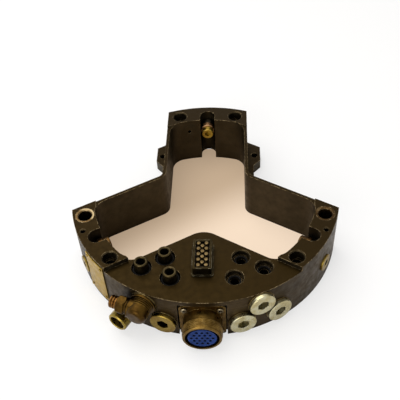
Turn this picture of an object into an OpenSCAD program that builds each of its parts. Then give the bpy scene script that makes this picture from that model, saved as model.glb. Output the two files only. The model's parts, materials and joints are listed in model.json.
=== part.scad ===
// Robotic tool changer, one half: a low three-armed body with a Y-shaped
// opening, a lock roller in the slot at the end of each arm, and a solid front
// wedge that carries the air ports, the contact block and the connector.
// Millimetres, +Z up. The origin is on the body's axis, in its bottom face.
// The connector faces -Y. Angles are measured from +X, seen from above.

/* [Body] */
// Outer radius of the body
body_r = 130; // [129:0.5:133]
// Height of the body at the lobe pads
body_h = 55; // [54.5:0.25:57]
// Height of the lobe pads above the front wedge
pad_rise = 5; // [4:0.25:5.5]
// Height of the lobe pads above the arm walls
wall_drop = 1.5; // [1:0.25:2.5]
// Distance of the side pads' front edges from their arms' axes
pad_front_w = 38.5; // [38.25:0.25:40]
// Reach of the lobe pads inward past the ends of the opening
pad_lip = 1.5; // [0.5:0.25:3]
// Width of each arm over its two walls
arm_w = 86; // [85:0.5:88]
// Thickness of the walls along each arm
arm_wall = 3; // [2.5:0.25:4]
// Radial depth of the solid lobe at the end of each arm
lobe_depth = 21.5; // [21:0.25:23]
// Corner radius at the outer end of each arm of the opening
channel_end_r = 15; // [12:0.5:17]
// Radius of the wedge's tip at the middle of the opening
apex_r = 20; // [12:1:24]
// Fillet radius in the notches beside the back arm
notch_r = 9; // [6:0.5:12]

/* [Base flange] */
// Height of the flange that follows the two notches
flange_h = 12; // [8:0.5:16]
// Width of the flange outside the arm walls
flange_w = 7.2; // [5:0.2:8]
// Reach of the lugs out from the arm walls
lug_reach = 15; // [14:0.5:18]
// Length of each lug's straight outer edge
lug_flat = 21; // [16:0.5:24]
// Length of the slope that runs into each lug
lug_slope = 9; // [6:0.5:11]
// Distance from the rim to the middle of each lug, along the arm
lug_setback = 29.5; // [28:0.5:33]
// Diameter of the lug holes
lug_hole_d = 6.6; // [5.5:0.1:7]
// Distance of the lug holes from the arm walls
lug_hole_out = 8.3; // [7.5:0.1:9]
// Distance of the lug holes from the lugs' middles, toward the centre
lug_hole_shift = 3; // [1:0.25:4]

/* [Lobe holes] */
// Distance of the six lobe holes from the rim
hole_edge = 11.6; // [11.4:0.05:11.8]
// Angle of the lobe holes to each side of the arm's axis
hole_angle = 14.7; // [14.3:0.1:14.9]
// Diameter of the bolt holes in the two side lobes
bolt_d = 9; // [8.4:0.1:10]
// Diameter of the counterbores at the front of the side lobes
bolt_head_d = 13.5; // [12.5:0.1:14.1]
// Depth of those counterbores
bolt_head_depth = 9; // [8:0.5:14]
// Diameter of the bolt holes in the back lobe
back_bolt_d = 9; // [8.4:0.1:10]
// Diameter of the counterbores in the back lobe
back_head_d = 14; // [13.5:0.1:15]
// Depth of those counterbores
back_head_depth = 9; // [7:0.5:12]
// Outer diameter of the locating bushes
bush_d = 18; // [17.6:0.1:18.2]
// Bore of the locating bushes
bush_bore = 13; // [12:0.1:14]
// Length of the locating bushes
bush_l = 20; // [14:0.5:24]
// Chamfer at the mouth of holes and bushes
mouth_chamfer = 0.9; // [0.5:0.1:1.2]
// Diameter of the index holes in the side lobes
index_d = 4; // [3.2:0.1:5]
// Depth of the index holes
index_depth = 10; // [6:0.5:14]
// Distance of the index holes from the rim
index_edge = 5.7; // [5:0.1:6.2]
// Angle of the index holes from the arm's axis, toward the back
index_angle = 5.6; // [5:0.1:6]
// Diameter of the vent hole in the back lobe's inner wall
vent_d = 4; // [3:0.1:4.5]
// Depth of the vent hole
vent_depth = 5; // [3:0.5:6]
// Height of the vent hole
vent_z = 40; // [36:0.5:43]
// Angle of the vent hole from the back arm's axis
vent_angle = 10.6; // [10:0.1:11.5]

/* [Locks] */
// Width of the slot in each lobe
slot_w = 16; // [15.8:0.1:17]
// Wall behind each slot
slot_wall = 7; // [6.5:0.1:8]
// Height of the lock screws
lock_z = 39; // [37:0.5:40.5]
// Diameter of the lock screw's head
lock_head_d = 12.5; // [12.2:0.1:13.5]
// Length of the lock screw's head
lock_head_l = 6; // [5:0.25:8]
// Width across the flats of the lock screw's socket
lock_socket = 6; // [4:0.5:7]
// Depth of the lock screw's socket
lock_socket_depth = 4; // [2:0.25:4.5]
// Diameter of the lock screw's shoulder
lock_shoulder_d = 9; // [8:0.25:10]
// Diameter of the lock screw's thread
lock_thread_d = 6; // [5:0.25:7]
// Length of the lock screw's thread
lock_thread_l = 5; // [3:0.25:5.25]
// Diameter of the lock roller
roller_d = 15; // [14:0.1:15.3]
// Width of the lock roller
roller_w = 5.5; // [4:0.1:6.5]
// Diameter of the sleeve behind the roller
sleeve_d = 12; // [11:0.1:13]
// Length of the sleeve behind the roller
sleeve_l = 8; // [6:0.1:9]
// Diameter of the screw plug on each lobe's rim
lobe_plug_d = 17; // [15:0.1:17.2]
// Thickness of that plug's head
lobe_plug_t = 2.6; // [2:0.1:3.5]
// Diameter of that plug's thread
lobe_thread_d = 12; // [10:0.5:13]
// Depth of the threaded hole behind that plug
lobe_thread_l = 4; // [3:0.25:5]
// Height of that plug
lobe_plug_z = 24; // [22:0.5:25]
// Width across the flats of that plug's socket
lobe_socket = 6; // [5:0.5:8]
// Depth of that plug's socket
lobe_socket_depth = 2.8; // [2:0.1:3.5]

/* [Ports] */
// Angle of the inner ports from the front
port_a_angle = 15.6; // [15.5:0.05:15.8]
// Angle between neighbouring ports
port_step = 7.8; // [7.7:0.05:8.2]
// Distance from the rim to the inner and outer top ports
port_near = 24; // [22.5:0.25:26]
// Distance from the rim to the middle top ports
port_far = 43.5; // [42:0.25:45]
// Height of the lower rim ports
port_low_z = 17; // [15:0.25:17.5]
// Height of the upper rim ports above the lower ones
port_rise = 19.8; // [19.4:0.1:20]
// Diameter of the spot faces at the rim ports
port_spot_d = 25.6; // [25.4:0.05:25.8]
// Depth of the spot faces
port_spot_depth = 0.8; // [0.7:0.05:1.2]
// Diameter of the rim port threads
port_thread_d = 20.9; // [19:0.1:21.5]
// Depth of the rim port threads
port_thread_l = 12; // [10:0.25:13]
// Diameter of the air passages down from the top
passage_d = 8; // [7.25:0.25:9]
// Diameter of the air passages in from the rim
cross_d = 7; // [5:0.25:7]
// Depth of the inner and middle passages past those from the rim
passage_past = 1; // [0.5:0.25:1.75]
// Depth of the outer passages past those from the rim
outer_past = 2.5; // [2.25:0.25:4]
// Diameter of the recesses round the nozzles
nozzle_recess_d = 18; // [17:0.1:18.5]
// Depth of the recesses round the nozzles
nozzle_recess_depth = 4; // [3:0.25:5]
// Outer diameter of the nozzles
nozzle_d = 12.4; // [11.5:0.1:13]
// Bore of the nozzles
nozzle_bore = 7.8; // [6:0.1:8]
// Height of the nozzles above the wedge
nozzle_rise = 9; // [6:0.25:10]
// Diameter of the nozzle's threaded foot
nozzle_foot_d = 10.4; // [10:0.1:11]
// Length of the nozzle's threaded foot
nozzle_foot_l = 7; // [5:0.25:8]
// Diameter of the mouths of the ports that take a nozzle
seat_d = 15.5; // [15:0.1:16.5]
// Depth of the middle mouth
seat_depth = 5.5; // [4.5:0.25:6]
// Difference in depth between neighbouring mouths
seat_step = 0.5; // [0.5:0.05:0.8]
// Outer diameter of the seal under each mouth
seat_seal_d = 12.4; // [12:0.1:13]
// Height of that seal
seat_seal_h = 2.5; // [1.5:0.1:3]
// Bore of that seal
seat_seal_bore = 9.2; // [9:0.1:10]

/* [Plugs] */
// Diameter of the plug flanges
plug_d = 24.4; // [23.5:0.1:24.8]
// Thickness of the plug flanges
plug_t = 4; // [3:0.1:4.5]
// Width across the flats of the plug sockets
plug_socket = 10; // [8:0.5:12]
// Depth of the plug sockets
plug_socket_depth = 8; // [6:0.25:9]
// Length of the plug threads
plug_thread_l = 10; // [8:0.25:11]
// Diameter of the sealing washers
washer_d = 25; // [24.8:0.05:25.3]
// Thickness of the sealing washers
washer_t = 1.3; // [1:0.1:1.8]

/* [Elbow and union] */
// Diameter of the elbow's barrel
elbow_d = 20; // [18:0.25:21]
// Length of the elbow's barrel
elbow_l = 16; // [15:0.25:18]
// Thickness of the elbow adapter's flange
adapter_t = 2.4; // [2:0.1:3.5]
// Diameter of the stem that the elbow turns on
stem_d = 12; // [11:0.1:13]
// Diameter of the elbow's side branch
branch_d = 13.5; // [12:0.1:14.5]
// Distance from the elbow's axis to the end of the branch
branch_l = 12; // [11.5:0.1:13]
// Width across the flats of the branch nut
nut_af = 15.4; // [14.5:0.1:15.6]
// Length of the branch nut
nut_l = 8; // [6:0.25:9]
// Outer diameter of the ribbed tail
tail_d = 12; // [11:0.1:13]
// Pitch of the ribs on the tail
tail_pitch = 2.6; // [2.2:0.1:3]
// Depth of the grooves between the ribs
tail_groove = 0.9; // [0.5:0.1:1.2]
// Bore through the elbow and its tail
tail_bore = 7.5; // [6:0.25:8]
// Width across the flats of the union's hexagon
union_af = 17; // [16:0.1:19]
// Length of the union's hexagon
union_hex_l = 6; // [5:0.25:8]
// Diameter of the union's open cup
cup_d = 19; // [18:0.1:20]
// Length of the union's open cup
cup_l = 13; // [11:0.25:15]
// Bore of the union's open cup
cup_bore = 14.4; // [13:0.1:15.5]
// Depth of the union's open cup
cup_depth = 9; // [7:0.25:10]

/* [Contact block] */
// Distance from the rim to the middle of the contact block
block_setback = 46.7; // [46:0.1:47.5]
// Width of the contact block
block_w = 17; // [16.6:0.1:18]
// Length of the contact block
block_l = 33.6; // [33:0.1:35]
// Height of the contact block above the wedge
block_rise = 9.7; // [9:0.1:11]
// Thickness of the contact block's wall
block_wall = 2.1; // [1.8:0.1:2.4]
// Width of the skirt at the block's foot
skirt_w = 1.5; // [1:0.1:2]
// Height of the skirt
skirt_h = 1.3; // [1:0.1:2]
// Depth from the block's rim to the insulator
contact_recess = 3.2; // [2.8:0.1:3.6]
// Spacing of the contacts along the block
contact_pitch = 6.2; // [6:0.05:6.4]
// Distance of the side contacts from the middle
contact_side = 3.5; // [3.4:0.05:3.8]
// Outer diameter of the contact barrels
barrel_d = 3; // [2.8:0.05:3.1]
// Diameter of the contact heads
contact_head_d = 2.9; // [2.4:0.05:3]
// Diameter of the contact stems
contact_stem_d = 1.8; // [1.5:0.05:2]
// Travel of the contacts
contact_travel = 1.2; // [1:0.05:1.3]
// Length of the contact barrels
barrel_l = 15; // [14:0.25:16.5]

/* [Connector] */
// Side of the square connector flange
conn_flange = 41.28; // [40.6:0.05:41.5]
// Thickness of the connector flange
conn_flange_t = 3.2; // [2.5:0.1:3.5]
// Corner radius of the connector flange
conn_corner_r = 3; // [1.5:0.25:4]
// Spacing of the flange screws
conn_pitch = 31.75; // [31:0.05:32]
// Diameter of the flange screw holes
conn_hole_d = 3.6; // [3.2:0.1:4]
// Height of the connector's axis
conn_z = 21; // [20.9:0.05:22]
// Depth from the rim to the connector's seat
conn_seat_depth = 6.5; // [6:0.1:7]
// Side gap between the flange and the sides of its recess
conn_side_gap = 1.2; // [0.8:0.1:2]
// Gap above the flange in its recess
conn_top_gap = 3; // [2:0.25:4]
// Outer diameter of the connector barrel
conn_barrel_d = 34.93; // [34:0.05:35.2]
// Length of the connector barrel in front of the flange
conn_barrel_l = 19.5; // [17:0.25:22]
// Wall of the connector barrel
conn_wall = 2.2; // [1.8:0.1:2.6]
// Diameter of the insert that holds the sockets
insert_d = 25.6; // [25.4:0.05:26.4]
// Depth from the barrel's end to the insert's face
insert_recess = 0.8; // [0.5:0.1:2]
// Depth of the ring-shaped gap round the insert
insert_gap_depth = 12; // [9:0.25:14]
// Length of the connector behind its flange
conn_tail_l = 11; // [8.5:0.25:12]
// Spacing of the sockets
socket_pitch = 4.7; // [4.4:0.05:4.8]
// Outer diameter of the sockets
socket_d = 2.6; // [2.2:0.05:2.8]
// Bore of the sockets
socket_bore = 1.7; // [1.2:0.05:1.8]
// Depth of the sockets' bores
socket_depth = 6; // [4:0.25:8]
// Depth of the sockets' ends below the insert's face
socket_recess = 0.4; // [0.2:0.05:0.8]
// Thickness of the connector gasket
gasket_t = 0.8; // [0.5:0.1:1.2]
// Diameter of the flange screw threads
conn_thread_d = 2.9; // [2.5:0.05:3]
// Wall between the flange screws' holes and the wiring pocket
conn_thread_wall = 0.8; // [0.6:0.1:1.5]
// Diameter of the flange screw heads
conn_head_d = 5.8; // [5:0.1:6.4]
// Height of the flange screw heads
conn_head_h = 2; // [1.5:0.1:2.4]
// Width across the flats of the flange screws' sockets
conn_socket = 2.4; // [2:0.1:3]
// Depth of the flange screws' sockets
conn_socket_depth = 1.2; // [0.8:0.1:1.4]

/* [Nameplate] */
// Start angle of the nameplate from the left arm's axis
plate_start_angle = 4; // [4:0.1:5]
// Angle that the nameplate covers
plate_sweep_angle = 12.5; // [11:0.1:12.6]
// Height of the nameplate's lower edge
plate_z = 5; // [3:0.5:8]
// Height of the nameplate
plate_h = 47; // [42:0.5:48]
// Thickness of the nameplate
plate_t = 0.9; // [0.6:0.1:1.2]
// Distance of the drive pins from the nameplate's edges
plate_pin_inset = 3; // [2.6:0.1:4]
// Diameter of the drive pin heads
plate_pin_d = 2.8; // [2:0.1:3.4]

/* [Wiring pocket] */
// Width of the wiring pocket
pocket_w = 32; // [31:0.25:33]
// Height of the wiring pocket's ceiling
pocket_top = 40; // [39.5:0.25:41]
// Distance from the connector's seat to the pocket
pocket_front_wall = 5; // [4:0.25:6]
// Thickness of the pocket's cover
cover_t = 2.5; // [2:0.1:3.5]
// Width of the ledge round the pocket that carries the cover
cover_ledge = 5; // [4.5:0.1:5.5]
// Corner radius of the cover
cover_corner_r = 4; // [3:0.25:5]
// Diameter of the cover screw heads
cover_head_d = 5; // [4.5:0.1:5.4]
// Width across the flats of the cover screws' sockets
cover_socket = 2; // [1.5:0.1:2.3]
// Depth of the cover screws' sockets
cover_socket_depth = 1; // [0.8:0.1:1.5]
// Diameter of the cover screw threads
cover_thread_d = 2.9; // [2.4:0.1:3]
// Length of the cover screw threads
cover_thread_l = 7; // [5:0.25:9]

/* [Fits] */
// Radial gap round pieces that are fixed in holes
fit_gap = 0.05; // [0.03:0.01:0.08]
// Radial gap round pieces that turn or slide
run_gap = 0.05; // [0.03:0.01:0.08]
// End gap beside pieces that turn
end_gap = 0.1; // [0.08:0.01:0.15]
// Side gap between a cover and its recess
cover_gap = 0.2; // [0.1:0.05:0.3]

/* [Hidden] */
$fn = 64;
fine = 160;
eps = 0.01;
over = 1;
blend_lap = 0.01;
foot_gap = 0.3;
sleeve_seat_gap = 0.5;
plate_pin_gap = 0.05;
plate_pin_h = 0.9;

back = 90;
left = 210;
right = 330;
front = 270;
LOBES = [back, left, right];

face_h = body_h - pad_rise;
half_arm = arm_w / 2;
half_channel = half_arm - arm_wall;
channel_r = body_r - lobe_depth;
slot_r = body_r - slot_wall;
hole_r = body_r - hole_edge;
port_high_z = port_low_z + port_rise;
port_seat_r = body_r - port_spot_depth;

// Inner, middle and outer ports: angle from the front, height at the rim, radius
// of the top port, and the depths of its passage and its mouth.
PORT_ANGLE = [port_a_angle, port_a_angle + port_step, port_a_angle + 2 * port_step];
PORT_Z = [port_low_z, port_high_z, port_low_z];
PORT_R = [body_r - port_near, body_r - port_far, body_r - port_near];
PASSAGE_PAST = [passage_past, passage_past, outer_past];
SEAT_DEPTH = [seat_depth - seat_step, seat_depth, seat_depth + seat_step];
// Side of the front centre line: the nozzles are on the left.
LEFT = -1;
RIGHT = 1;
MIDDLE = 1;
OUTER = 2;

block_y = -(body_r - block_setback);
block_top = face_h + block_rise;
insulator_top = block_top - contact_recess;
barrel_stand = 0.5;
barrel_top = insulator_top + barrel_stand;
head_gap = contact_travel + end_gap;
barrel_bore_floor = 2;
barrel_tail_d = 1;
barrel_tail_l = 5;
CONTACT_ROWS = 5;
// Contacts: five rows of two, with one between each two rows.
CONTACTS = [for (i = [0:2 * CONTACT_ROWS - 2])
    let (y = block_y + ((CONTACT_ROWS - 1) - i) * contact_pitch / 2)
    each (i % 2 == 0 ? [[-contact_side, y], [contact_side, y]] : [[0, y]])];

conn_seat_y = -(body_r - conn_seat_depth);
conn_back_y = conn_seat_y - gasket_t;
conn_face_y = conn_back_y - conn_flange_t;
conn_end_y = conn_face_y - conn_barrel_l;
conn_tail_d = insert_d + 2 * conn_wall;
conn_thread_l = pocket_front_wall - conn_thread_wall;
conn_tail_end = -conn_seat_y - conn_tail_l;
conn_seal_t = 2;
insert_y = conn_end_y + insert_recess;
insert_l = -insert_y - conn_tail_end;
SOCKET_ROWS = [3, 4, 5, 4, 3];
SOCKETS = [for (j = [0:4]) for (k = [0:SOCKET_ROWS[j] - 1])
    [(k - (SOCKET_ROWS[j] - 1) / 2) * socket_pitch, (j - 2) * socket_pitch * sin(60)]];
CONN_HOLES = [for (x = [-1, 1], z = [-1, 1]) [x * conn_pitch / 2, conn_z + z * conn_pitch / 2]];

pocket_y0 = block_y + block_l / 2;
pocket_y1 = conn_seat_y + pocket_front_wall;
cover_screw_in = cover_ledge / 2;

elbow_start = washer_t + adapter_t + end_gap;
elbow_cap = 5;
elbow_mid = elbow_start + elbow_l / 2 - 1;

roller_back = slot_r - sleeve_l - end_gap;
roller_front = roller_back - roller_w;
head_back = roller_front - end_gap;

// ---- helpers ---------------------------------------------------------------

// Puts children with their Z axis along the radius at an angle and a height.
module radial(angle, z, r = 0) {
    rotate([0, 0, angle]) translate([r, 0, z]) rotate([0, 90, 0]) children();
}

// Puts children on the top port or rim port of one side and position.
module top_port(side, i) {
    a = front + side * PORT_ANGLE[i];
    translate([PORT_R[i] * cos(a), PORT_R[i] * sin(a), face_h]) children();
}
module rim_port(side, i) {
    radial(front + side * PORT_ANGLE[i], PORT_Z[i], port_seat_r) children();
}

module ring(d, bore, h) {
    difference() {
        cylinder(d = d, h = h);
        translate([0, 0, -over]) cylinder(d = bore, h = h + 2 * over);
    }
}

module hexagon(af, h) {
    cylinder(d = af / cos(30), h = h, $fn = 6);
}

// Blind hole downward from z = 0, with a chamfered mouth.
module mouth_hole(d, depth, chamfer = mouth_chamfer) {
    cone = chamfer + over;
    translate([0, 0, -depth]) cylinder(d = d, h = depth + over);
    translate([0, 0, -chamfer]) cylinder(d1 = d, d2 = d + 2 * cone, h = cone);
}

// A bar with chamfered ends, from z = 0.
module chamfered(d, h, c) {
    rotate_extrude()
        polygon([[0, 0], [d / 2 - c, 0], [d / 2, c], [d / 2, h - c], [d / 2 - c, h], [0, h]]);
}

module rounded_square(w, h, r) {
    square([w - 2 * r, h], center = true);
    square([w, h - 2 * r], center = true);
    for (x = [-1, 1], y = [-1, 1])
        translate([x * (w / 2 - r), y * (h / 2 - r)]) circle(r = r);
}

// ---- plan of the body ------------------------------------------------------

// One arm along +X from the centre, out to a radius.
module arm_plan(half_w, r) {
    intersection() {
        circle(r = r, $fn = fine);
        translate([0, -half_w]) square([r, 2 * half_w]);
    }
}

// Fillet in the corner between two arms that lie 60 degrees either side of +X.
// It reaches into both arms, and its arc crosses their edges by blend_lap.
module corner_web(half_w, r) {
    centre = (half_w + r) / sin(60);
    reach = r + over;
    difference() {
        polygon([[half_w / sin(60) - 2 * over, 0],
                 [centre - reach * cos(30), reach * sin(30)],
                 [centre, 0],
                 [centre - reach * cos(30), -reach * sin(30)]]);
        translate([centre, 0]) circle(r = r + blend_lap);
    }
}

// The opening in one arm, with rounded outer corners.
module channel_arm_plan() {
    r = channel_end_r;
    cy = half_channel - r;
    cx = sqrt(pow(channel_r - r, 2) - cy * cy);
    k = (channel_r + over) / (channel_r - r);
    difference() {
        arm_plan(half_channel, channel_r);
        for (s = [-1, 1])
            difference() {
                polygon([[cx, s * cy],
                         [cx, s * (half_channel + over)],
                         [channel_r + over, s * (half_channel + over)],
                         [cx * k, s * cy * k]]);
                translate([cx, s * cy]) circle(r = r + blend_lap);
            }
    }
}

module channel_plan() {
    for (a = LOBES) rotate(a) channel_arm_plan();
    for (a = [30, 150]) rotate(a) corner_web(half_channel, notch_r + arm_wall);
    rotate(front) corner_web(half_channel, apex_r);
}

module slot_plan() {
    for (a = LOBES) rotate(a) {
        x0 = channel_r - over;
        translate([x0, -slot_w / 2]) square([slot_r - slot_w / 2 - x0, slot_w]);
        translate([slot_r - slot_w / 2, 0]) circle(d = slot_w);
    }
}

// The sector between the two side arms, from a point on the front centre line.
module front_sector(setback) {
    reach = 2 * body_r;
    polygon([[0, -setback],
             [reach * cos(left), reach * sin(left) - setback],
             [0, -2 * reach],
             [reach * cos(right), reach * sin(right) - setback]]);
}

module body_plan() {
    intersection() {
        circle(r = body_r, $fn = fine);
        union() {
            for (a = LOBES) rotate(a)
                translate([0, -half_arm]) square([body_r + over, 2 * half_arm]);
            for (a = [30, 150]) rotate(a) corner_web(half_arm, notch_r);
            front_sector(0);
        }
    }
}

// Where the top lies lower than the lobe pads: the arm walls, and the wedge.
module wall_top_plan() {
    difference() {
        circle(r = channel_r - pad_lip, $fn = fine);
        front_sector(0);
    }
}
module wedge_top_plan() {
    intersection() {
        circle(r = channel_r - pad_lip, $fn = fine);
        front_sector(0);
    }
    front_sector(pad_front_w / sin(60));
}

// The flange along the two notches, and the lugs on the back arm.
module flange_plan() {
    half = half_arm + flange_w;
    mid = body_r - lug_setback;
    u0 = mid - lug_flat / 2;
    u1 = mid + lug_flat / 2;
    root = u0 - lug_slope;
    intersection() {
        circle(r = norm([root, half]), $fn = fine);
        difference() {
            union() {
                for (a = LOBES) rotate(a) arm_plan(half, body_r);
                for (a = [30, 150]) rotate(a) corner_web(half, notch_r);
            }
            front_sector(0);
        }
    }
    for (s = [-1, 1]) rotate(back)
        polygon([[root, 0], [root, s * half],
                 [u0, s * (half_arm + lug_reach)],
                 [u1, s * (half_arm + lug_reach)],
                 [u1 + lug_slope, s * (half_arm - eps)], [u1 + lug_slope, 0]]);
}

// ---- cuts in the body ------------------------------------------------------

module lobe_hole_at(angle) {
    rotate(angle) translate([hole_r, 0, body_h]) children();
}

module lobe_hole_cuts() {
    for (s = [-1, 1]) {
        lobe_hole_at(back + s * hole_angle) {
            mouth_hole(back_head_d, back_head_depth);
            translate([0, 0, -body_h - over]) cylinder(d = back_bolt_d, h = body_h + over);
        }
        lobe_hole_at(front + s * (front - left - hole_angle)) {
            mouth_hole(bolt_head_d, bolt_head_depth);
            translate([0, 0, -body_h - over]) cylinder(d = bolt_d, h = body_h + over);
        }
        lobe_hole_at(front + s * (front - left + hole_angle)) {
            translate([0, 0, -bush_l]) cylinder(d = bush_d + 2 * fit_gap, h = bush_l + over);
            translate([0, 0, -body_h - over]) cylinder(d = bolt_d, h = body_h + over);
        }
        rotate(front + s * (front - left + index_angle))
            translate([body_r - index_edge, 0, body_h]) mouth_hole(index_d, index_depth);
    }
    radial(back + vent_angle, vent_z, channel_r - over)
        cylinder(d = vent_d, h = vent_depth + over);
}

module lock_cuts() {
    for (a = LOBES) {
        radial(a, lock_z, slot_r - over)
            cylinder(d = lock_thread_d + 2 * fit_gap, h = lock_thread_l + over + foot_gap);
        // flat seat for the sleeve at the round end of the slot
        radial(a, lock_z, slot_r - slot_w / 2)
            cylinder(d = sleeve_d + 2 * sleeve_seat_gap, h = slot_w / 2);
        radial(a, lobe_plug_z, body_r - lobe_thread_l)
            cylinder(d = lobe_thread_d + 2 * fit_gap, h = lobe_thread_l + over);
        radial(a, lobe_plug_z, body_r - port_spot_depth)
            cylinder(d = lobe_plug_d + 2 * cover_gap, h = port_spot_depth + over);
    }
}

module port_cuts() {
    for (side = [LEFT, RIGHT], i = [0:OUTER]) {
        depth = face_h - PORT_Z[i] + cross_d / 2 + PASSAGE_PAST[i];
        rim_port(side, i) {
            cylinder(d = port_spot_d, h = port_spot_depth + over);
            translate([0, 0, -port_thread_l])
                cylinder(d = port_thread_d + 2 * fit_gap, h = port_thread_l + over);
            run = port_seat_r - PORT_R[i];
            translate([0, 0, -run]) cylinder(d = cross_d, h = run);
        }
        top_port(side, i) translate([0, 0, -depth]) cylinder(d = passage_d, h = depth + over);
    }
    for (i = [0:OUTER]) {
        top_port(LEFT, i) {
            mouth_hole(nozzle_recess_d, nozzle_recess_depth, mouth_chamfer / 2);
            foot = nozzle_recess_depth + nozzle_foot_l;
            translate([0, 0, -foot]) cylinder(d = nozzle_foot_d + 2 * fit_gap, h = foot);
        }
        top_port(RIGHT, i) {
            mouth_hole(seat_d, SEAT_DEPTH[i]);
            translate([0, 0, -SEAT_DEPTH[i] - seat_seal_h])
                cylinder(d = seat_seal_d, h = seat_seal_h + over);
        }
    }
}

module connector_cuts() {
    half = conn_flange / 2 + conn_side_gap;
    top = conn_z + conn_flange / 2 + conn_top_gap;
    translate([-half, -body_r - over, -over])
        cube([2 * half, conn_seat_depth + over, top + over]);
    radial(front, conn_z, -pocket_y1 - over)
        cylinder(d = conn_tail_d + 2 * cover_gap, h = pocket_front_wall + 2 * over);
    for (p = CONN_HOLES)
        translate([p[0], conn_seat_y - over, p[1]]) rotate([-90, 0, 0])
            cylinder(d = conn_thread_d + 2 * fit_gap, h = conn_thread_l + over);
}

module pocket_plan(margin) {
    w = pocket_w + 2 * margin;
    l = pocket_y0 - pocket_y1 + 2 * margin;
    translate([0, (pocket_y0 + pocket_y1) / 2]) rounded_square(w, l, cover_corner_r);
}

module cover_screw_at() {
    x = pocket_w / 2 + cover_screw_in;
    for (s = [-1, 1], y = [pocket_y0 - cover_corner_r, pocket_y1 + cover_corner_r])
        translate([s * x, y, 0]) children();
}

module pocket_cuts() {
    translate([0, 0, -over]) linear_extrude(pocket_top + over) pocket_plan(0);
    translate([0, 0, -over]) linear_extrude(cover_t + over) pocket_plan(cover_ledge + cover_gap);
    cover_screw_at()
        translate([0, 0, -over]) cylinder(d = cover_thread_d + 2 * fit_gap, h = cover_t + cover_thread_l + over);
    // window for the insulator, through the wedge's top into the pocket
    translate([0, block_y, pocket_top - over]) linear_extrude(face_h - pocket_top + 2 * over)
        square([block_w - 2 * block_wall + 2 * cover_gap, block_l - 2 * block_wall + 2 * cover_gap],
               center = true);
}

// ---- body ------------------------------------------------------------------

module body() color([0.16, 0.14, 0.12]) difference() {
    union() {
        linear_extrude(body_h) body_plan();
        linear_extrude(flange_h) flange_plan();
    }
    translate([0, 0, body_h - wall_drop]) linear_extrude(wall_drop + over) wall_top_plan();
    translate([0, 0, face_h]) linear_extrude(pad_rise + over) wedge_top_plan();
    translate([0, 0, -over]) linear_extrude(body_h + 2 * over) {
        channel_plan();
        slot_plan();
    }
    lobe_hole_cuts();
    lock_cuts();
    port_cuts();
    connector_cuts();
    pocket_cuts();
    for (s = [-1, 1])
        translate([s * (half_arm + lug_hole_out), body_r - lug_setback - lug_hole_shift, flange_h])
            mouth_hole(lug_hole_d, flange_h + over, mouth_chamfer / 2);
}

// ---- locks -----------------------------------------------------------------

module bush(side) color([0.72, 0.62, 0.38])
    lobe_hole_at(front + side * (front - left + hole_angle)) rotate_extrude() {
        c = mouth_chamfer;
        polygon([[bush_bore / 2, -bush_l], [bush_d / 2 - c, -bush_l], [bush_d / 2, -bush_l + c],
                 [bush_d / 2, 0], [bush_bore / 2 + c, 0], [bush_bore / 2, -c]]);
    }

module lock_screw(angle) color([0.74, 0.66, 0.36]) radial(angle, lock_z) difference() {
    rotate_extrude() {
        c = 0.6;
        front_r = head_back - lock_head_l;
        end = slot_r + lock_thread_l;
        polygon([[0, front_r], [lock_head_d / 2 - c, front_r], [lock_head_d / 2, front_r + c],
                 [lock_head_d / 2, head_back], [lock_shoulder_d / 2, head_back],
                 [lock_shoulder_d / 2, slot_r], [lock_thread_d / 2, slot_r],
                 [lock_thread_d / 2, end - c], [lock_thread_d / 2 - c, end], [0, end]]);
    }
    translate([0, 0, head_back - lock_head_l - over]) hexagon(lock_socket, lock_socket_depth + over);
}

module lock_roller(angle) color([0.78, 0.7, 0.5]) radial(angle, lock_z, roller_front)
    rotate_extrude() {
        c = 0.7;
        r0 = lock_shoulder_d / 2 + run_gap;
        polygon([[r0, 0], [roller_d / 2 - c, 0], [roller_d / 2, c],
                 [roller_d / 2, roller_w - c], [roller_d / 2 - c, roller_w], [r0, roller_w]]);
    }

module lock_sleeve(angle) color([0.4, 0.38, 0.34]) radial(angle, lock_z, slot_r - sleeve_l)
    ring(sleeve_d, lock_shoulder_d + 2 * fit_gap, sleeve_l);

module lobe_plugs() color([0.78, 0.7, 0.42])
    for (a = LOBES) radial(a, lobe_plug_z, port_seat_r) difference() {
        foot = lobe_thread_l - port_spot_depth - foot_gap;
        union() {
            chamfered(lobe_plug_d, lobe_plug_t, 0.5);
            translate([0, 0, -foot]) cylinder(d = lobe_thread_d, h = foot + eps);
        }
        translate([0, 0, lobe_plug_t - lobe_socket_depth]) hexagon(lobe_socket, lobe_socket_depth + over);
    }

// ---- ports -----------------------------------------------------------------

module port_plug(side, i) color([0.8, 0.73, 0.5]) rim_port(side, i) difference() {
    union() {
        translate([0, 0, washer_t]) chamfered(plug_d, plug_t, 0.6);
        translate([0, 0, washer_t - plug_thread_l]) chamfered(port_thread_d, plug_thread_l + over, 0.8);
    }
    translate([0, 0, washer_t + plug_t - plug_socket_depth])
        hexagon(plug_socket, plug_socket_depth + over);
}

module port_washers() color([0.62, 0.56, 0.4]) {
    for (i = [0:OUTER]) rim_port(RIGHT, i) ring(washer_d, port_thread_d + 2 * fit_gap, washer_t);
    for (i = [0:OUTER]) rim_port(LEFT, i) ring(washer_d, port_thread_d + 2 * fit_gap, washer_t);
}

module nozzle(i) color([0.3, 0.29, 0.26]) top_port(LEFT, i) {
    floor_z = -nozzle_recess_depth;
    c = 0.7;
    rotate_extrude()
        polygon([[nozzle_bore / 2, floor_z - nozzle_foot_l + c],
                 [nozzle_foot_d / 2 - c, floor_z - nozzle_foot_l + c],
                 [nozzle_foot_d / 2, floor_z - nozzle_foot_l + 2 * c],
                 [nozzle_foot_d / 2, floor_z],
                 [nozzle_d / 2, floor_z],
                 [nozzle_d / 2, nozzle_rise - c],
                 [nozzle_d / 2 - c, nozzle_rise],
                 [nozzle_bore / 2 + c, nozzle_rise],
                 [nozzle_bore / 2, nozzle_rise - c]]);
}

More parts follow.
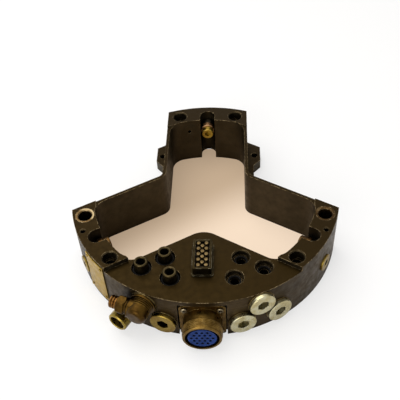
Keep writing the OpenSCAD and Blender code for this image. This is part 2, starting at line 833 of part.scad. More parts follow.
module nozzle_seals() color([0.08, 0.08, 0.08])
    for (i = [0:OUTER]) top_port(LEFT, i) {
        lip = 1.2;
        translate([0, 0, -nozzle_recess_depth])
            ring(nozzle_recess_d - 2 * cover_gap, nozzle_d + 2 * fit_gap, nozzle_recess_depth + lip);
    }

module seat_seals() color([0.08, 0.08, 0.08])
    for (i = [0:OUTER]) top_port(RIGHT, i) translate([0, 0, -SEAT_DEPTH[i] - seat_seal_h])
        ring(seat_seal_d - 2 * fit_gap, seat_seal_bore, seat_seal_h);

// ---- elbow and union -------------------------------------------------------

module elbow_adapter() color([0.62, 0.5, 0.26]) rim_port(LEFT, MIDDLE) difference() {
    union() {
        translate([0, 0, washer_t]) chamfered(plug_d, adapter_t, 0.5);
        translate([0, 0, washer_t - plug_thread_l]) chamfered(port_thread_d, plug_thread_l + over, 0.8);
        cylinder(d = stem_d, h = elbow_start + elbow_l - elbow_cap);
    }
    translate([0, 0, -plug_thread_l - over]) cylinder(d = tail_bore, h = plug_thread_l + elbow_mid + over);
    translate([0, 0, elbow_mid]) rotate([90, 0, 0]) cylinder(d = tail_bore, h = stem_d, center = true);
}

module elbow_body() color([0.5, 0.37, 0.17]) rim_port(LEFT, MIDDLE) difference() {
    union() {
        translate([0, 0, elbow_start]) chamfered(elbow_d, elbow_l, 1.6);
        translate([0, 0, elbow_mid]) rotate([90, 0, 0]) cylinder(d = branch_d, h = branch_l);
    }
    translate([0, 0, elbow_start - over])
        cylinder(d = stem_d + 2 * run_gap, h = elbow_l - elbow_cap + over + end_gap);
    translate([0, 0, elbow_mid]) rotate([90, 0, 0]) cylinder(d = tail_bore, h = branch_l + over);
}

module branch_nut() color([0.45, 0.32, 0.16]) rim_port(LEFT, MIDDLE)
    translate([0, 0, elbow_mid]) rotate([90, 0, 0]) translate([0, 0, branch_l]) difference() {
        intersection() {
            rotate(30) hexagon(nut_af, nut_l);
            chamfered(nut_af / cos(30) - 0.6, nut_l, 1.2);
        }
        translate([0, 0, -over]) cylinder(d = tail_bore, h = nut_l + 2 * over);
    }

module branch_tail() color([0.72, 0.45, 0.25]) rim_port(LEFT, MIDDLE)
    translate([0, 0, elbow_mid]) rotate([90, 0, 0]) translate([0, 0, branch_l + nut_l])
        rotate_extrude() {
            r = tail_d / 2;
            g = r - tail_groove;
            ribs = 3;
            polygon([[tail_bore / 2, 0],
                     for (k = [0:ribs - 1]) each [[g, k * tail_pitch],
                                                  [r, (k + 0.3) * tail_pitch],
                                                  [r, (k + 0.7) * tail_pitch]],
                     [g, ribs * tail_pitch], [tail_bore / 2, ribs * tail_pitch]]);
        }

module union_adapter() color([0.5, 0.38, 0.2]) rim_port(LEFT, OUTER) difference() {
    union() {
        translate([0, 0, washer_t - plug_thread_l]) chamfered(port_thread_d, plug_thread_l, 0.8);
        translate([0, 0, washer_t - eps]) intersection() {
            hexagon(union_af, union_hex_l + eps);
            cylinder(d = union_af / cos(30) - 0.6, h = union_hex_l + eps);
        }
    }
    translate([0, 0, -plug_thread_l - over]) cylinder(d = passage_d, h = plug_thread_l + union_hex_l + washer_t + 2 * over);
}

module union_cup() color([0.72, 0.68, 0.34]) rim_port(LEFT, OUTER)
    translate([0, 0, washer_t + union_hex_l]) rotate_extrude() {
        c = 1;
        r = cup_d / 2;
        b = cup_bore / 2;
        polygon([[passage_d / 2, 0], [r - c, 0], [r, c], [r, cup_l - c], [r - c, cup_l],
                 [b + c / 2, cup_l], [b, cup_l - c / 2], [b, cup_l - cup_depth],
                 [passage_d / 2, cup_l - cup_depth]]);
    }

// ---- contact block ---------------------------------------------------------

module contact_housing() color([0.2, 0.2, 0.19]) translate([0, block_y, face_h]) difference() {
    union() {
        linear_extrude(block_rise) rounded_square(block_w, block_l, 1.2);
        linear_extrude(skirt_h)
            rounded_square(block_w + 2 * skirt_w, block_l + 2 * skirt_w, 2);
    }
    translate([0, 0, -over]) linear_extrude(block_rise + 2 * over)
        square([block_w - 2 * block_wall, block_l - 2 * block_wall], center = true);
}

module contact_insulator() color([0.05, 0.05, 0.05]) difference() {
    w = block_w - 2 * block_wall - 2 * fit_gap;
    l = block_l - 2 * block_wall - 2 * fit_gap;
    base = pocket_top - 1;
    translate([0, block_y, base]) linear_extrude(insulator_top - base) square([w, l], center = true);
    for (p = CONTACTS) translate([p[0], p[1], base - over])
        cylinder(d = barrel_d + 2 * fit_gap, h = insulator_top - base + 2 * over, $fn = 24);
}

module contact_barrels() color([0.7, 0.55, 0.25])
    for (p = CONTACTS) translate([p[0], p[1], barrel_top - barrel_l]) difference() {
        union() {
            cylinder(d = barrel_d, h = barrel_l, $fn = 24);
            translate([0, 0, -barrel_tail_l]) cylinder(d = barrel_tail_d, h = barrel_tail_l + eps, $fn = 16);
        }
        translate([0, 0, barrel_bore_floor]) cylinder(d = contact_stem_d + 2 * run_gap, h = barrel_l, $fn = 24);
    }

module contact_pin(i) color([0.85, 0.66, 0.3]) translate([CONTACTS[i][0], CONTACTS[i][1], barrel_top])
    rotate_extrude($fn = 24) {
        r = contact_head_d / 2;
        s = contact_stem_d / 2;
        collar = 0.5;
        foot = barrel_bore_floor + contact_travel + end_gap;
        translate([0, head_gap]) square([r, collar]);
        translate([0, head_gap + collar]) intersection() {
            circle(r = r);
            square([r, r]);
        }
        translate([0, foot - barrel_l]) square([s, barrel_l - foot + head_gap + eps]);
    }

// ---- connector -------------------------------------------------------------

module conn_flange_plate(t, corner, hole_d, bore) {
    rotate([90, 0, 0]) difference() {
        linear_extrude(t) rounded_square(conn_flange, conn_flange, corner);
        translate([0, 0, -over]) cylinder(d = bore, h = t + 2 * over);
        for (x = [-1, 1], z = [-1, 1])
            translate([x * conn_pitch / 2, z * conn_pitch / 2, -over])
                cylinder(d = hole_d, h = t + 2 * over, $fn = 24);
    }
}

module connector_gasket() color([0.1, 0.1, 0.1]) translate([0, conn_seat_y, conn_z])
    conn_flange_plate(gasket_t, conn_corner_r, conn_hole_d, conn_tail_d + 2 * fit_gap);

module connector_shell() color([0.36, 0.29, 0.13]) {
    bore_r = insert_d / 2 + fit_gap;
    // the plate's bore is wider than the barrel's, and ends inside the barrel's wall
    translate([0, conn_back_y, conn_z])
        conn_flange_plate(conn_flange_t, conn_corner_r, conn_hole_d, conn_tail_d - over);
    radial(front, conn_z) rotate_extrude() {
        y0 = conn_tail_end;
        y1 = -conn_end_y;
        r = conn_barrel_d / 2;
        c = 0.8;
        polygon([[bore_r, y0], [conn_tail_d / 2, y0], [conn_tail_d / 2, -conn_back_y],
                 [r, -conn_back_y], [r, y1 - c], [r - c, y1],
                 [r - conn_wall, y1], [r - conn_wall, y1 - insert_gap_depth],
                 [bore_r, y1 - insert_gap_depth]]);
    }
}

module connector_seal() color([0.06, 0.06, 0.06]) radial(front, conn_z, -conn_end_y - insert_gap_depth)
    ring(conn_barrel_d - 2 * conn_wall - 2 * fit_gap, insert_d + 2 * fit_gap, conn_seal_t);

module connector_insert() color([0.1, 0.16, 0.5]) radial(front, conn_z, conn_tail_end) difference() {
    cylinder(d = insert_d, h = insert_l);
    for (p = SOCKETS) translate([p[1], p[0], -over])
        cylinder(d = socket_d + 2 * fit_gap, h = insert_l + 2 * over, $fn = 20);
}

module connector_sockets() color([0.1, 0.1, 0.16]) radial(front, conn_z, conn_tail_end)
    for (p = SOCKETS) translate([p[1], p[0], 0]) difference() {
        l = insert_l - socket_recess;
        cylinder(d = socket_d, h = l, $fn = 20);
        translate([0, 0, l - socket_depth]) cylinder(d = socket_bore, h = socket_depth + over, $fn = 20);
    }

module connector_screws() color([0.75, 0.73, 0.7])
    for (p = CONN_HOLES) translate([p[0], conn_face_y, p[1]]) rotate([90, 0, 0]) difference() {
        union() {
            chamfered(conn_head_d, conn_head_h, 0.5);
            shank = conn_flange_t + gasket_t + conn_thread_l - foot_gap;
            translate([0, 0, -shank]) cylinder(d = conn_thread_d, h = shank + eps, $fn = 24);
        }
        translate([0, 0, conn_head_h - conn_socket_depth]) hexagon(conn_socket, conn_socket_depth + over);
    }

// ---- nameplate and pocket cover --------------------------------------------

// Wedge-shaped area from the centre, which reaches well past the rim.
module plate_sector(a0, a1) {
    r = 1.1 * body_r;
    polygon([[0, 0], [r * cos(a0), r * sin(a0)], [r * cos(a1), r * sin(a1)]]);
}

module nameplate() color([0.76, 0.65, 0.36])
    translate([0, 0, plate_z]) linear_extrude(plate_h) intersection() {
        difference() {
            circle(r = body_r + plate_t, $fn = fine);
            circle(r = body_r, $fn = fine);
        }
        plate_sector(left + plate_start_angle, left + plate_start_angle + plate_sweep_angle);
    }

module nameplate_pins() color([0.7, 0.6, 0.35]) {
    inset = plate_pin_inset / body_r * 180 / PI;
    for (a = [plate_start_angle + inset, plate_start_angle + plate_sweep_angle - inset],
         z = [plate_z + plate_pin_inset, plate_z + plate_h - plate_pin_inset])
        radial(left + a, z, body_r + plate_t + plate_pin_gap) chamfered(plate_pin_d, plate_pin_h, 0.3);
}

module pocket_cover() color([0.2, 0.18, 0.16]) difference() {
    linear_extrude(cover_t) pocket_plan(cover_ledge);
    cover_screw_at() {
        translate([0, 0, -over]) cylinder(d = cover_thread_d + 2 * fit_gap, h = cover_t + 2 * over);
        cone = (cover_head_d - cover_thread_d) / 2 + over;
        translate([0, 0, -over])
            cylinder(d1 = cover_thread_d + 2 * (fit_gap + cone), d2 = cover_thread_d + 2 * fit_gap, h = cone);
    }
}

module cover_screws() color([0.3, 0.3, 0.3]) cover_screw_at() difference() {
    head_h = (cover_head_d - cover_thread_d) / 2;
    union() {
        translate([0, 0, fit_gap]) cylinder(d1 = cover_head_d, d2 = cover_thread_d, h = head_h);
        translate([0, 0, head_h]) cylinder(d = cover_thread_d, h = cover_t - head_h + cover_thread_l - foot_gap);
    }
    translate([0, 0, -over]) hexagon(cover_socket, cover_socket_depth + over);
}

// ---- assembly --------------------------------------------------------------

body();
bush(LEFT);  // bush_left
bush(RIGHT);  // bush_right
lock_screw(back);  // lock_screw_back
lock_screw(left);  // lock_screw_left
lock_screw(right);  // lock_screw_right
lock_roller(back);  // lock_roller_back
lock_roller(left);  // lock_roller_left
lock_roller(right);  // lock_roller_right
lock_sleeve(back);  // lock_sleeve_back
lock_sleeve(left);  // lock_sleeve_left
lock_sleeve(right);  // lock_sleeve_right
lobe_plugs();
port_plug(RIGHT, 0);  // port_plug_right_inner
port_plug(RIGHT, MIDDLE);  // port_plug_right_middle
port_plug(RIGHT, OUTER);  // port_plug_right_outer
port_plug(LEFT, 0);  // port_plug_left_inner
port_washers();
nozzle(0);  // nozzle_inner
nozzle(MIDDLE);  // nozzle_middle
nozzle(OUTER);  // nozzle_outer
nozzle_seals();
seat_seals();
elbow_adapter();
elbow_body();
branch_nut();
branch_tail();
union_adapter();
union_cup();
contact_housing();
contact_insulator();
contact_barrels();
for (i = [0:len(CONTACTS) - 1])
    contact_pin(i);
connector_gasket();
connector_shell();
connector_seal();
connector_insert();
connector_sockets();
connector_screws();
nameplate();
nameplate_pins();
pocket_cover();
cover_screws();
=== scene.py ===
# %% [markdown]
# # A robotic tool changer, dressed for rendering
#
# The part is one half of a coupling between a robot's wrist and its tools. A
# hard-anodised aluminium body holds air ports, a block of spring contacts, a
# round connector and three locks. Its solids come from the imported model, in
# metres, and this lesson gives each of them a finish. The new pieces are forms
# that the solids keep plain: O-rings, a coupling thread, the buttons of the
# contacts and a forged elbow.

import json
import math

import bpy
import numpy as np
from mathutils import Matrix, Vector


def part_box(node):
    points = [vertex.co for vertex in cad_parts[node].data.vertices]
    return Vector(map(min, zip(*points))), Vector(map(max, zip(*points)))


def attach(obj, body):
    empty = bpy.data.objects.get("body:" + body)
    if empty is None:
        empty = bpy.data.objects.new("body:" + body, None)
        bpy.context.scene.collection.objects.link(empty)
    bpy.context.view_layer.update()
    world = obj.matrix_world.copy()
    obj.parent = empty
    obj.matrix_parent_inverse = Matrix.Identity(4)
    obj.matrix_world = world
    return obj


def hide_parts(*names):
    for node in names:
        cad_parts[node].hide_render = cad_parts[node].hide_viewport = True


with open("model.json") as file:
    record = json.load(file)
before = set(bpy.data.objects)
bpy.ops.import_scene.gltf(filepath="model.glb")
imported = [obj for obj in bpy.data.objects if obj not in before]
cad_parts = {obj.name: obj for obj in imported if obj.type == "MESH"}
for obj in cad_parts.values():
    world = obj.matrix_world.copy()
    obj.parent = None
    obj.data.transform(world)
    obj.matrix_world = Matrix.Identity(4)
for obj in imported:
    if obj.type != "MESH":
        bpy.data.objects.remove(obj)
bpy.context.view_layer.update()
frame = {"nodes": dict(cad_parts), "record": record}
nodes = frame["nodes"]

# %% [markdown]
# ## Camera
#
# The camera looks down from the front, over the connector. A constraint could
# aim it at a target, but a target says nothing of the camera's roll. So its
# place is given with three angles: yaw about the vertical, pitch below the
# horizon and roll about its own line of sight.


# %% Place the camera
def aim(position, yaw, pitch, roll):
    """Camera matrix: forward from yaw and pitch, then right and up turned by roll."""
    y, p, r = (math.radians(angle) for angle in (yaw, pitch, roll))
    forward = Vector((math.sin(y) * math.cos(p), math.cos(y) * math.cos(p), -math.sin(p)))
    right = forward.cross(Vector((0, 0, 1))).normalized()
    up = right.cross(forward)
    right, up = (right * math.cos(r) + up * math.sin(r), up * math.cos(r) - right * math.sin(r))
    matrix = Matrix((right, up, -forward)).transposed().to_4x4()
    matrix.translation = Vector(position)
    return matrix


camera_data = bpy.data.cameras.new("camera")
camera_data.lens = 61.19
camera_data.sensor_width = 36
camera_data.clip_start = 0.01
camera = bpy.data.objects.new("camera", camera_data)
camera.matrix_world = aim((0.0304, -0.4673, 0.5292), yaw=-4.368, pitch=46.112, roll=-3.724)
bpy.context.scene.collection.objects.link(camera)
bpy.context.scene.camera = camera
print("camera at", [round(v, 3) for v in camera.location])

# %% [markdown]
# ## Colours
#
# Colours are easiest to pick as they look on a screen, from 0 to 255, but a
# shader works with light. Every colour below is written the first way, and the
# sRGB curve turns it into the second.


# %% Colour helper
def colour(red, green, blue):
    """Screen values 0-255 to linear light, by the sRGB curve."""
    c = np.array([red, green, blue]) / 255
    linear = np.where(c <= 0.04045, c / 12.92, ((c + 0.055) / 1.055) ** 2.4)
    return (*[float(v) for v in linear], 1.0)


print("mid grey is", [round(v, 3) for v in colour(128, 128, 128)])

# %% [markdown]
# ## Node helpers
#
# A material is a small graph of nodes. It could be written with a line for
# each node, value and link, but the graphs below repeat the same few moves. So
# one helper adds a node with its values and links together, and the small ones
# do arithmetic, read a place on the object and shape a mask.


# %% Node helpers
def add(tree, kind, settings=None, **inputs):
    """Adds a node; settings are its properties, and inputs are values or sockets, i0 being the first."""
    node = tree.nodes.new(kind)
    for name, value in (settings or {}).items():
        setattr(node, name, value)
    for name, value in inputs.items():
        key = int(name[1:]) if name[0] == "i" and name[1:].isdigit() else name.replace("_", " ")
        if isinstance(value, bpy.types.NodeSocket):
            tree.links.new(value, node.inputs[key])
        else:
            node.inputs[key].default_value = value
    return node


def math_node(tree, operation, a, b=0.0):
    """One arithmetic step; a and b are numbers or sockets."""
    return add(tree, "ShaderNodeMath", {"operation": operation}, i0=a, i1=b).outputs[0]


def split(tree, vector):
    """The X, Y and Z of a vector."""
    return add(tree, "ShaderNodeSeparateXYZ", Vector=vector).outputs


def place(tree):
    """The point on the finished object, in metres."""
    return add(tree, "ShaderNodeTexCoord").outputs["Object"]


def noise(tree, scale, detail=4.0, roughness=0.55):
    """Noise of about 0.3 to 0.7, with that many patches to a metre."""
    node = add(
        tree, "ShaderNodeTexNoise", Vector=place(tree), Scale=scale, Detail=detail, Roughness=roughness
    )
    return node.outputs["Fac"]


def ramp(tree, value, low, high):
    """0 below low, 1 above high, and smooth between."""
    smooth = {"interpolation_type": "SMOOTHSTEP"}
    return add(tree, "ShaderNodeMapRange", smooth, Value=value, From_Min=low, From_Max=high).outputs["Result"]


def mix(tree, factor, a, b):
    """A blend of two colours, which are the node's sockets 6 and 7."""
    return add(tree, "ShaderNodeMix", {"data_type": "RGBA"}, i0=factor, i6=a, i7=b).outputs[2]


print("helpers ready")

# %% [markdown]
# An effect that many finishes share, such as wear, could be copied into each
# material. A node group is better: it is built once, and each material places
# it with values of its own. These groups take in and give out plain numbers.


# %% Group helper
def group(name, inputs, outputs):
    """An empty group: inputs maps each name to its first value, and outputs lists names."""
    tree = bpy.data.node_groups.new(name, "ShaderNodeTree")
    for label, value in inputs.items():
        socket = tree.interface.new_socket(name=label, in_out="INPUT", socket_type="NodeSocketFloat")
        socket.default_value = value
    for label in outputs:
        tree.interface.new_socket(name=label, in_out="OUTPUT", socket_type="NodeSocketFloat")
    return tree, tree.nodes.new("NodeGroupInput").outputs, tree.nodes.new("NodeGroupOutput").inputs


print("group helper ready")

# %% [markdown]
# Handling rubs the anodising off a part's edges first. Edges could be painted
# by hand, or found from the mesh, but these solids have no even mesh to read.
# The Bevel node needs none: it rounds the normal near a corner, and where that
# leaves the face's own normal, there is an edge. Noise breaks the line up.

# %% Group: edge wear
EDGE_RANGE = 0.004, 0.12  # how far the rounded normal has left the face's own
RUB_RANGE = 0.42, 0.6  # the part of the noise that breaks the line

edge_wear, given, out = group("edge_wear", {"Width": 0.0006, "Amount": 0.6, "Break Up": 260.0}, ["Mask"])
rounded = add(edge_wear, "ShaderNodeBevel", {"samples": 6}, Radius=given["Width"]).outputs[0]
flat = add(edge_wear, "ShaderNodeNewGeometry").outputs["Normal"]
dot = {"operation": "DOT_PRODUCT"}
likeness = add(edge_wear, "ShaderNodeVectorMath", dot, i0=rounded, i1=flat).outputs["Value"]
edge = ramp(edge_wear, math_node(edge_wear, "SUBTRACT", 1.0, likeness), *EDGE_RANGE)
broken = ramp(edge_wear, noise(edge_wear, given["Break Up"], 5.0, 0.7), *RUB_RANGE)
line = math_node(edge_wear, "MULTIPLY", edge, broken)
edge_wear.links.new(math_node(edge_wear, "MULTIPLY", line, given["Amount"]), out["Mask"])
print("group", edge_wear.name, "with", len(edge_wear.nodes), "nodes")

# %% [markdown]
# Every surface here has a fine tooth: bead blasting before anodising, or the
# skin of a plating. It is far too fine to model, so it is a height for a Bump
# node. One noise alone looks like sand, so two are added, one of them twelve
# times broader, and the broad one also varies the gloss.

# %% Group: fine tooth
BROADER, BROAD_SHARE = 0.08, 0.6

fine_tooth, given, out = group("fine_tooth", {"Scale": 2500.0, "Depth": 0.5}, ["Height", "Spread"])
fine = math_node(fine_tooth, "MULTIPLY", noise(fine_tooth, given["Scale"], 3.0, 0.5), given["Depth"])
broad = noise(fine_tooth, math_node(fine_tooth, "MULTIPLY", given["Scale"], BROADER), 4.0, 0.5)
swell = math_node(fine_tooth, "MULTIPLY", broad, BROAD_SHARE)
fine_tooth.links.new(math_node(fine_tooth, "ADD", fine, swell), out["Height"])
fine_tooth.links.new(broad, out["Spread"])
print("group", fine_tooth.name, "with", len(fine_tooth.nodes), "nodes")

# %% [markdown]
# Light reaches less far into sockets, into bolt holes and into the corner where
# a piece meets its seat, and these places are darkened with painted shade. Each
# such spot could be named, but ambient occlusion finds them all, since it
# measures how shut in a point is. Past a limit, that is painted as shade.

# %% Group: painted shade in recesses
SHUT_RANGE = 0.3, 0.75  # the share of the view that is blocked

recess_shade, given, out = group("recess_shade", {"Reach": 0.006, "Amount": 0.7}, ["Mask"])
open_air = add(recess_shade, "ShaderNodeAmbientOcclusion", {"samples": 8}, Distance=given["Reach"]).outputs["AO"]
deep = ramp(recess_shade, math_node(recess_shade, "SUBTRACT", 1.0, open_air), *SHUT_RANGE)
recess_shade.links.new(math_node(recess_shade, "MULTIPLY", deep, given["Amount"]), out["Mask"])
print("group", recess_shade.name, "with", len(recess_shade.nodes), "nodes")

# %% [markdown]
# ## Finishes
#
# Anodising, zinc, brass and rubber differ in colour and gloss, but they age in
# the same ways. So one function turns a short list of values into a finish: a
# base colour, a second one that clouds it, a colour where the edges are worn,
# and the gloss. The Principled shader stays in the material, and the groups
# feed it. A second Bevel node gives the sharp solids the small edge radius
# that every machined part has.

# %% Layers of colour
# The colour of the painted shade in recesses.
SHADE_TONE = (12, 8, 4)
CLOUD_RANGE = 0.35, 0.65


def aged(tree, base, cloud, worn, zones, patch, edges, shaded):
    """Base clouded by a second colour, then zones, bare edges and painted shade in recesses laid over it in
    turn.
    """
    clouds = ramp(tree, noise(tree, patch, 5.0), *CLOUD_RANGE)
    tone = mix(tree, clouds, colour(*base), colour(*cloud))
    for mask, shade in zones:
        tone = mix(tree, mask(tree), tone, colour(*shade))
    tone = mix(tree, edges, tone, colour(*worn))
    return mix(tree, shaded, tone, colour(*SHADE_TONE))


# The printed tone is that of the painted shade in recesses.
print("grime is", [round(v, 4) for v in colour(*SHADE_TONE)])

# %% [markdown]
# Fourteen values make a finish, but most pieces need only a few of them, so the
# others have defaults. Lengths are in metres, and patch and tooth count
# patches to a metre.


# %% Finish builder
TOOTH_HEIGHT, TOOTH_STRENGTH, EDGE_RADIUS = 0.0002, 0.15, 0.0004
NOISE_LOW, NOISE_HIGH, GLOSS_SPREAD = 0.3, 0.7, 0.12


def finish(
    name, base, cloud, worn, gloss=0.4, metal=1.0, wear=0.6, width=0.0006, tooth=2500.0,
    patch=60.0, zones=(), recess_darkening=0.8, corner=0.006, shine=0.5,
):
    """A material from its colours, how rough, metallic and worn it is, and how much
    painted shade darkens its recesses.

    zones holds (mask function, colour) pairs, laid over the base in turn.
    """
    material = bpy.data.materials.new(name)
    material.use_nodes = True
    tree = material.node_tree
    shader = tree.nodes["Principled BSDF"].inputs
    edges = add(tree, "ShaderNodeGroup", {"node_tree": edge_wear}, Width=width, Amount=wear).outputs["Mask"]
    # Ambient occlusion darkens the recesses as painted shade.
    shaded = add(tree, "ShaderNodeGroup", {"node_tree": recess_shade}, Reach=corner, Amount=recess_darkening).outputs["Mask"]
    grain = add(tree, "ShaderNodeGroup", {"node_tree": fine_tooth}, Scale=tooth).outputs
    tree.links.new(aged(tree, base, cloud, worn, zones, patch, edges, shaded), shader["Base Color"])
    rough = add(
        tree, "ShaderNodeMapRange", Value=grain["Spread"], From_Min=NOISE_LOW, From_Max=NOISE_HIGH,
        To_Min=gloss - GLOSS_SPREAD, To_Max=gloss + GLOSS_SPREAD,
    )
    tree.links.new(rough.outputs["Result"], shader["Roughness"])
    shader["Metallic"].default_value = metal
    shader["Specular IOR Level"].default_value = shine
    soft = add(tree, "ShaderNodeBevel", {"samples": 4}, Radius=EDGE_RADIUS).outputs[0]
    skin = add(
        tree, "ShaderNodeBump", Strength=TOOTH_STRENGTH, Distance=TOOTH_HEIGHT,
        Height=grain["Height"], Normal=soft,
    )
    tree.links.new(skin.outputs[0], shader["Normal"])
    return material


def dress(material, *names):
    """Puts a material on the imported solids, in their own slots."""
    for name in names:
        for slot in nodes[name].material_slots:
            slot.material = material


print("edges are rounded by", EDGE_RADIUS * 1000, "mm")

# %% [markdown]
# Hard anodising on an old changer is not pure black: it has faded towards
# olive-brown, and its edges show the grey-gold of rubbed aluminium. The turned
# rim keeps the fine level lines of the lathe, and these are painted paler, as a
# painted reflection of the bright floor in front. The faces that look up are
# painted darkest, as painted shade, since they face a dark room. The body is
# one solid, so these zones are worked out from the place and the normal, and
# not from separate slots.

# %% Zones of the body
RIM, RIM_BLUR = 0.128, 0.0005
UP_RANGE = 0.55, 0.85  # the normal's Z, from a wall to a top face
LINES, LINE_RANGE = 1500.0, (0.35, 0.65)  # lines to a metre, and how hard they are
SHEEN_PATCHES, SHEEN_PATCH_RANGE = 24.0, (0.3, 0.6)  # patches of painted sheen to a metre


def upward(tree):
    """1 on faces that look up, 0 on walls."""
    normal = add(tree, "ShaderNodeNewGeometry").outputs["Normal"]
    return ramp(tree, split(tree, normal)["Z"], *UP_RANGE)


def turned(tree):
    """The outer wall: as far out as the rim, by the root of x squared and y squared, and not facing up."""
    axes = split(tree, place(tree))
    squares = [math_node(tree, "MULTIPLY", axes[axis], axes[axis]) for axis in ("X", "Y")]
    radius = math_node(tree, "POWER", math_node(tree, "ADD", *squares), 0.5)
    wall = math_node(tree, "SUBTRACT", 1.0, upward(tree))
    return math_node(tree, "MULTIPLY", ramp(tree, radius, RIM - RIM_BLUR, RIM + RIM_BLUR), wall)


def lathe_line_sheen(tree):
    """The turned wall's fine level lines and cloudy patches, which take a painted sheen."""
    level = split(tree, place(tree))["Z"]
    flat_noise = {"noise_dimensions": "1D"}
    lines = add(tree, "ShaderNodeTexNoise", flat_noise, W=level, Scale=LINES, Detail=3.0).outputs["Fac"]
    patches = ramp(tree, noise(tree, SHEEN_PATCHES), *SHEEN_PATCH_RANGE)
    sheen_lines = math_node(tree, "MULTIPLY", ramp(tree, lines, *LINE_RANGE), patches)
    return math_node(tree, "MULTIPLY", turned(tree), sheen_lines)


print("rim zone from a radius of", RIM, "m")

# %% [markdown]
# The contact housing and the nozzles are anodised too, but they were made
# apart from the body: the housing is darker and the nozzles are paler. So each
# has values of its own, and only the body needs the zones.

# %% Anodised aluminium
# Painted shade darkens the body's faces that look up, and a painted sheen pales the lathe lines of its rim.
anodised = finish(
    "anodised_body", (57, 49, 34), (67, 58, 42), (176, 154, 116),
    gloss=0.48, wear=0.75, width=0.0007, recess_darkening=0.95, corner=0.009,
    zones=((upward, (38, 28, 11)), (turned, (45, 35, 19)), (lathe_line_sheen, (72, 57, 34))),
)
housing = finish(
    "anodised_housing", (34, 27, 13), (42, 34, 18), (116, 108, 88), gloss=0.45, wear=1.0, width=0.0007
)
nozzle = finish(
    "anodised_nozzle", (50, 42, 24), (62, 52, 32), (130, 112, 78), gloss=0.4, wear=0.7, width=0.0004
)
dress(anodised, "body", "pocket_cover")
dress(housing, "contact_housing")
dress(nozzle, "nozzle_inner", "nozzle_middle", "nozzle_outer")
print("anodised:", anodised.name, housing.name, nozzle.name)

# %% [markdown]
# Yellow zinc plating is steel under a thin chromate film. Its tint drifts from
# piece to piece and from place to place, between straw, gold, brown and a pale
# green. One tint for all would look painted, so each group of pieces has its
# own pair of colours, and small patches blend the two.

# %% Zinc plating
pale_zinc = finish(
    "zinc_pale", (186, 182, 154), (168, 157, 116), (218, 214, 194),
    gloss=0.34, wear=0.5, patch=120.0, recess_darkening=0.6,
)
gold_zinc = finish(
    "zinc_gold", (142, 120, 54), (122, 97, 38), (196, 176, 120),
    gloss=0.34, wear=0.4, patch=120.0, recess_darkening=1.0, corner=0.011,
)
screw_zinc = finish(
    "zinc_screw", (166, 142, 60), (140, 112, 44), (206, 190, 130),
    gloss=0.34, wear=0.5, patch=120.0, recess_darkening=0.3,
)
side_zinc = finish(
    "zinc_brown", (84, 60, 30), (64, 44, 22), (150, 120, 70), gloss=0.36, wear=0.4, patch=120.0
)
green_zinc = finish(
    "zinc_green", (152, 130, 60), (117, 99, 41), (196, 180, 110), gloss=0.32, wear=0.4, patch=150.0
)
dress(pale_zinc, "port_plug_right_inner", "port_plug_right_middle", "port_plug_right_outer")
dress(gold_zinc, "port_plug_left_inner", "lobe_plugs")
dress(screw_zinc, "lock_screw_back")
dress(side_zinc, "lock_screw_left", "lock_screw_right", "lock_roller_left", "lock_roller_right")
dress(green_zinc, "union_cup")
print("five tints of zinc plating")

# %% [markdown]
# The locks' sleeves, the back roller and the small screws are bare steel. It
# is dark where oil keeps to it, coppery on the roller and bright on the
# connector's screws. Three finishes say that better than one with a mask.

# %% Bare steel
dark_steel = finish("dark_steel", (62, 56, 48), (84, 76, 64), (130, 120, 100), gloss=0.4, wear=0.5)
bright_steel = finish(
    "bright_steel", (128, 116, 92), (98, 86, 64), (200, 190, 166), gloss=0.34, wear=0.4, patch=200.0
)
roller = finish(
    "roller_steel", (170, 130, 92), (140, 104, 70), (206, 176, 140), gloss=0.34, wear=0.5, patch=150.0
)
dress(dark_steel, "lock_sleeve_back", "lock_sleeve_left", "lock_sleeve_right", "cover_screws")
dress(bright_steel, "connector_screws")
dress(roller, "lock_roller_back")
print("bare steel:", dark_steel.name, bright_steel.name, roller.name)

# %% [markdown]
# The two locating bushes take the other half's pins. The left one has a painted
# highlight along the far side of its rim, and the right one is brown with rust in
# patches, with its faces that look up painted paler than its bore, as painted
# light. The highlight and the rust are masks over a brown steel: the first is a
# straight split through the bush's middle, blurred, and the second is noise.

# %% Locating bushes
HIGHLIGHT_BLUR = 0.006
RUSTS, RUST_RANGE = 38.0, (0.44, 0.52)  # rust patches to a metre, and how hard their edges are


def middle(name):
    """The middle of a solid's box."""
    low, high = (np.array(corner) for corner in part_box(name))
    return (low + high) / 2


def far_rim_highlight(tree):
    """The half of the left bush's top where x + y is more than at its middle, for a painted highlight."""
    axes = split(tree, place(tree))
    across = math_node(tree, "ADD", axes["X"], axes["Y"])
    centre = float(middle("bush_left")[:2].sum())
    return math_node(tree, "MULTIPLY", upward(tree), ramp(tree, across, centre, centre + HIGHLIGHT_BLUR))


def rusty(tree):
    """Brown patches on the faces that look up."""
    return math_node(tree, "MULTIPLY", upward(tree), ramp(tree, noise(tree, RUSTS), *RUST_RANGE))


clean_bush = finish(
    "bush_clean", (96, 74, 42), (70, 50, 26), (206, 190, 150), gloss=0.34, wear=0.8, patch=150.0,
    zones=((upward, (92, 70, 40)), (far_rim_highlight, (150, 131, 96))),
)
rusty_bush = finish(
    "bush_rusty", (78, 58, 32), (60, 42, 22), (196, 178, 136), gloss=0.38, wear=0.8, patch=150.0,
    zones=((upward, (96, 75, 46)), (rusty, (58, 40, 18))),
)
dress(clean_bush, "bush_left")
dress(rusty_bush, "bush_right")
print("left bush's middle at", [round(float(v), 4) for v in middle("bush_left")])

# %% [markdown]
# The fittings are brass that years of oil have turned brown, with a tail of
# copper. The contacts are gold over brass, dulled, with a finer tooth than the
# rest because plating that thin follows a polished surface.

